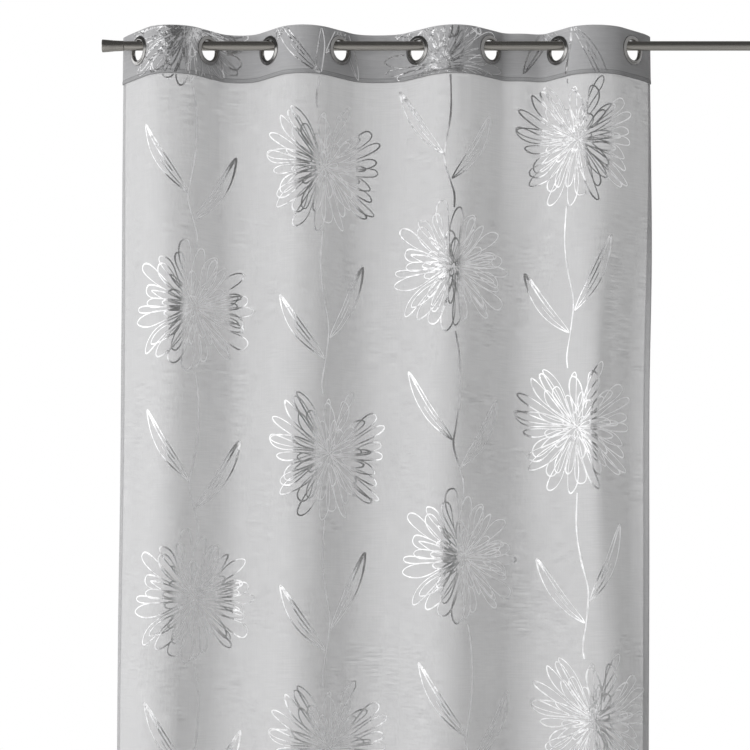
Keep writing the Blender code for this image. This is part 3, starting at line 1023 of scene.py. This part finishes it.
def printPaths():
    meanSag = sum(sags) / len(sags)
    panelPaths, headingPaths = [], []
    for column in printColumns:
        middle = column.firstZ + meanSag
        while middle > clothBottom - foilPrint["pitch"]:
            for path in layMotif(column, middle):
                panelPaths += insideRuns(path, onPanel)
                headingPaths += insideRuns(path, onHeading)
                turned = [(arc, 2 * clothTop - height, half * foilPrint["turnedWeight"])
                          for arc, height, half in path if height > clothTop]
                headingPaths += insideRuns(turned, onHeading)
            middle -= foilPrint["pitch"]
    return panelPaths, headingPaths


panelPaths, headingPaths = printPaths()
lines = foilTree()
panelPrint, headingPrint = [
    buildWithTree(name, pathMesh(name + "_paths", paths), lines, {
        "Cloth": ground, "Lift": foilPrint["lift"], "Material": finish})
    for name, paths, ground, finish in (
        ("panel_print", panelPaths, panel, foil),
        ("heading_print", headingPaths, heading, creasedFoil))]
print("foil print laid:", len(panelPrint.data.polygons) + len(headingPrint.data.polygons), "faces")

sewing = {
    "thread": {"Pitch": 0.004, "Stitch Length": 0.003, "Thread Radius": 0.00022,
               "Thread Sides": 6, "Lift": 0.0002},
    "fromHemEdge": 0.002,
    "fromEnd": 0.003,
    "panelStart": 0.004,
    "headingRows": (0.0022, 0.0060),
    "headingSides": 0.010,
}


def seamPaths():
    inset = cloth["sideHem"] - sewing["fromHemEdge"]
    sides = (inset, cloth["width"] - inset)
    ends = (sewing["fromEnd"], cloth["width"] - sewing["fromEnd"])
    hem = cloth["bottomHem"] - sewing["fromHemEdge"]
    seam = seamEdge - clothBottom
    top = cloth["drop"] - sewing["fromEnd"]
    panelSeams = [[(side, sewing["panelStart"]), (side, seam)] for side in sides]
    panelSeams.append([(side, hem) for side in sides])
    headingSeams = [[(end, seam + up) for end in ends] for up in sewing["headingRows"]]
    headingSeams += [[(side, seam + sewing["headingSides"]), (side, top)] for side in sides]
    return panelSeams, headingSeams


panelSeams, headingSeams = seamPaths()
stitching = stitchTree()
panelStitches, headingStitches = [
    buildWithTree(name, pathMesh(name + "_seams", seams), stitching, {
        "Cloth": ground, "Material": thread, **sewing["thread"]})
    for name, seams, ground in (
        ("panel_stitches", panelSeams, panel), ("heading_stitches", headingSeams, heading))]
print("seams sewn:", len(panelStitches.data.polygons) + len(headingStitches.data.polygons), "faces")

# Eyelets: two halves pressed together round the hole, with a groove for the cloth.
# section: radius and depth from the groove's middle, for the front half.
ringBuild = {
    "segments": 72,
    "coreScale": 1e-4,  # the section is swept round a circle this small
    "section": (
        (0.0200, 0.0000), (0.0200, 0.0015), (0.0203, 0.0026), (0.0210, 0.0034),
        (0.0220, 0.0039), (0.0232, 0.0040), (0.0246, 0.0036), (0.0262, 0.0030),
        (0.0278, 0.0026), (0.0288, 0.0025), (0.0294, 0.0021), (0.0295, 0.0015),
        (0.0292, 0.0010), (0.0233, 0.0010),
    ),
}


def ringTree():
    tree, start, end = newTree(
        "rings_on_rod", Section="Object", Segments="Int", Core_Scale="Float")
    section = addNode(tree, "GeometryNodeObjectInfo", {"Object": start.outputs["Section"]})
    section = addNode(tree, "GeometryNodeMeshToCurve", {"Mesh": section.outputs["Geometry"]})
    circle = addNode(tree, "GeometryNodeCurvePrimitiveCircle", {
        "Resolution": start.outputs["Segments"], "Radius": 1.0})
    small = addNode(tree, "GeometryNodeTransform", {
        "Geometry": circle, "Scale": start.outputs["Core Scale"]})
    ring = addNode(tree, "GeometryNodeCurveToMesh", {"Curve": small, "Profile Curve": section})
    upright = addNode(tree, "GeometryNodeTransform", {
        "Geometry": ring, "Rotation": (pi / 2, 0.0, 0.0)})
    turn = namedField(tree, "turn")
    euler = addNode(tree, "ShaderNodeCombineXYZ", {"Z": turn})
    rotation = addNode(tree, "FunctionNodeEulerToRotation", {0: euler})
    placed = addNode(tree, "GeometryNodeInstanceOnPoints", {
        "Points": start.outputs["Geometry"], "Instance": upright, "Rotation": rotation})
    endTree(tree, start, end, placed)
    return tree


def buildRings():
    half = [(radius, depth, 0.0) for radius, depth in ringBuild["section"]]
    section = half + [(radius, -depth, 0.0) for radius, depth, _ in reversed(half[1:])]
    edges = [(k, (k + 1) % len(section)) for k in range(len(section))]
    outline = addObject("ring_section", plainMesh("ring_section", section, edges))
    middles = [(e.x, 0.0, -sag) for e, sag in zip(eyelets, sags)]
    turns = [radians(e.turn) * (1 if k % 2 else towardsFront) for k, e in enumerate(eyelets)]
    places = plainMesh("ring_places", middles, [], turn=turns)
    rings = buildWithTree("heading_rings", places, ringTree(), {
        "Section": outline, "Segments": ringBuild["segments"],
        "Core Scale": ringBuild["coreScale"], "Material": nickel})
    bpy.data.objects.remove(outline, do_unlink=True)
    return rings


rings = buildRings()
print("rings placed:", len(rings.data.polygons), "faces")

# Rod and its ends, turned on a lathe.
rodSize = {"left": -0.523, "right": 0.742, "radius": 0.0095, "bevel": 0.0006, "rings": 40}
lathe = {"sides": 72, "weld": 1e-6, "sharpFrom": 38}
# Rod end: distance out from the rod's end, and radius, with three fine grooves.
endOutline = (
    (0.0003, 0.0094), (0.0006, 0.0099), (0.0010, 0.0101), (0.0040, 0.0103), (0.0041, 0.0099),
    (0.0052, 0.0103), (0.0120, 0.0106), (0.0160, 0.0108), (0.0161, 0.0104), (0.0172, 0.0108),
    (0.0210, 0.0111), (0.0211, 0.0107), (0.0222, 0.0112), (0.0400, 0.0127), (0.0424, 0.0129),
    (0.0434, 0.0128), (0.0440, 0.0122), (0.0440, 0.0110), (0.0436, 0.0104), (0.0434, 0.0050),
)


def turnedMesh(name, points, material):
    shape = bmesh.new()
    dots = [shape.verts.new((along, 0.0, radius)) for along, radius in points]
    edges = [shape.edges.new(pair) for pair in zip(dots, dots[1:])]
    bmesh.ops.spin(shape, geom=dots + edges, cent=(0, 0, 0), axis=(1, 0, 0),
                   angle=2 * pi, steps=lathe["sides"], use_merge=True)
    bmesh.ops.remove_doubles(shape, verts=shape.verts, dist=lathe["weld"])
    bmesh.ops.holes_fill(shape, edges=shape.edges, sides=lathe["sides"])
    bmesh.ops.recalc_face_normals(shape, faces=shape.faces)
    mesh = bpy.data.meshes.new(name)
    shape.to_mesh(mesh)
    shape.free()
    mesh.shade_smooth()
    mesh.set_sharp_from_angle(angle=radians(lathe["sharpFrom"]))
    mesh.materials.append(material)
    return addObject(name, mesh)


def buildRod():
    left, right, radius, bevel = (rodSize[key] for key in ("left", "right", "radius", "bevel"))
    points = [(left, radius - bevel)]
    points += [(x, radius) for x in np.linspace(left + bevel, right - bevel, rodSize["rings"])]
    points += [(right, radius - bevel)]
    return turnedMesh("curtain_rod", points, steel)


def buildRodEnd(name, start, side):
    points = [(start + side * out, radius) for out, radius in endOutline]
    return turnedMesh(name, points, steel)


rod = buildRod()
leftEnd = buildRodEnd("rod_end_left", rodSize["left"], -1)
rightEnd = buildRodEnd("rod_end_right", rodSize["right"], 1)
print("rod and ends turned")

# Which body each piece rides on; the imported parts they stand in for are hidden.
for piece in (panel, heading, panelPrint, headingPrint, panelStitches, headingStitches,
              rings, rod, leftEnd, rightEnd):
    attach(piece, "root")
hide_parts("panel")
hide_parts("heading")
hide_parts(*[f"eyelet_{number + 1}" for number in range(len(eyelets))])
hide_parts("rod")
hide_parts("finial_left")
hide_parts("finial_right")

# Floor, just below the hem.
floorSize = {"side": 40.0, "front": -40.0, "back": 14.0, "below": 0.012}
floorFinish = {"light": (0.82, 0.82, 0.81), "dark": (0.77, 0.77, 0.76), "roughness": 0.6,
               "glow": 0.10, "seenGlow": 0.34, "grain": (6, 6, 6), "detail": 5.0}


def buildFloor():
    z = cadBox[0][2] - floorSize["below"]
    side, front, back = (floorSize[key] for key in ("side", "front", "back"))
    corners = [(-side, front, z), (side, front, z), (side, back, z), (-side, back, z)]
    finish = floorFinish
    material, tree, shader = newMaterial("pale_floor", finish["light"], finish["roughness"])
    seen = addNode(tree, "ShaderNodeLightPath").outputs["Is Camera Ray"]
    glow = mapRange(tree, seen, 0.0, 1.0, finish["glow"], finish["seenGlow"])
    tree.links.new(glow, shader.inputs["Emission Strength"])
    noise = objectNoise(tree, finish["grain"], finish["detail"])
    paint(tree, shader, noise, finish["light"], finish["dark"])
    mesh = makeMesh("floor", corners, [(0, 1, 2, 3)], [(0, 0), (1, 0), (1, 1), (0, 1)])
    mesh.materials.append(material)
    return addObject("floor", mesh)


buildFloor()

# Light: a plain surround, white where the camera sees it, with one glow for the cloth and
# another for what metal mirrors.
studio = {"onCloth": 0.02, "inMetal": 0.10, "backdrop": 1.0, "topFade": 0.02}
# aim: middle of a glowing part of the surround. Its glow fades between the two cosines. Metal
# sees it only up to the height top. onCloth and inMetal: its strength for each.
Glow = namedtuple("Glow", "aim edge full top onCloth inMetal")
glows = (
    Glow((-0.985, -0.174, 0.00), 0.36, 0.50, 1.00, 1.00, 0.00),
    Glow((-0.985, -0.174, 0.00), 0.40, 0.60, 0.26, 0.00, 1.80),
    Glow((1.00, -0.05, 0.00), 0.60, 0.80, 1.00, 0.06, 0.58),
    Glow((0.00, 0.00, -1.00), 0.45, 0.85, 1.00, 0.25, 1.00),
    Glow((0.00, 1.00, 0.00), 0.30, 0.80, 1.00, 0.50, 0.25),
)
# These light the cloth and the floor, and don't show in the metal.
SoftLight = namedtuple("SoftLight", "name place aim size power")
softLights = (
    SoftLight("front_left_softbox", (-2.5, -3.0, -0.8), (0.0, 0.0, -0.9), 2.2, 46.0),
    SoftLight("overhead_softbox", (0.0, -0.8, 1.9), (0.0, -0.8, -1.0), 3.0, 24.0),
)


def mixStrength(tree, share, first, second):
    return addNode(tree, "ShaderNodeMix", {"Factor": share, "A": first, "B": second},
                   data_type="FLOAT").outputs[0]


def buildWorld():
    world = bpy.data.worlds.new("studio")
    bpy.context.scene.world = world
    world.use_nodes = True
    tree = world.node_tree
    tree.nodes.clear()
    direction = addNode(tree, "ShaderNodeTexCoord").outputs["Generated"]
    rays = addNode(tree, "ShaderNodeLightPath").outputs
    up = addNode(tree, "ShaderNodeSeparateXYZ", {0: direction}).outputs[2]
    onCloth, inMetal = studio["onCloth"], studio["inMetal"]
    for glow in glows:
        nearness = addNode(tree, "ShaderNodeVectorMath", {0: direction, 1: glow.aim},
                           operation="DOT_PRODUCT").outputs["Value"]
        share = addNode(tree, "ShaderNodeMapRange", {
            "Value": nearness, "From Min": glow.edge, "From Max": glow.full},
            interpolation_type="SMOOTHSTEP").outputs[0]
        onCloth = mathNode(tree, "MULTIPLY_ADD", share, glow.onCloth, onCloth)
        below = mapRange(tree, up, glow.top, glow.top - studio["topFade"], 0.0, glow.inMetal)
        inMetal = mathNode(tree, "MULTIPLY_ADD", share, below, inMetal)
    around = mixStrength(tree, rays["Is Glossy Ray"], onCloth, inMetal)
    strength = mixStrength(tree, rays["Is Camera Ray"], around, studio["backdrop"])
    background = addNode(tree, "ShaderNodeBackground", {
        "Color": (1.0, 1.0, 1.0, 1.0), "Strength": strength})
    addNode(tree, "ShaderNodeOutputWorld", {"Surface": background})


def buildLights():
    for light in softLights:
        data = bpy.data.lights.new(light.name, "AREA")
        data.shape = "SQUARE"
        data.size = light.size
        data.energy = light.power
        lamp = addObject(light.name, data)
        lamp.visible_glossy = False
        lamp.location = light.place
        aim = [b - a for a, b in zip(light.place, light.aim)]
        lamp.rotation_euler = (
            acos(-aim[2] / dist(light.place, light.aim)), 0.0,
            atan2(aim[1], aim[0]) - pi / 2)


buildWorld()
buildLights()
bpy.context.scene.view_settings.view_transform = "Standard"
print("studio set")
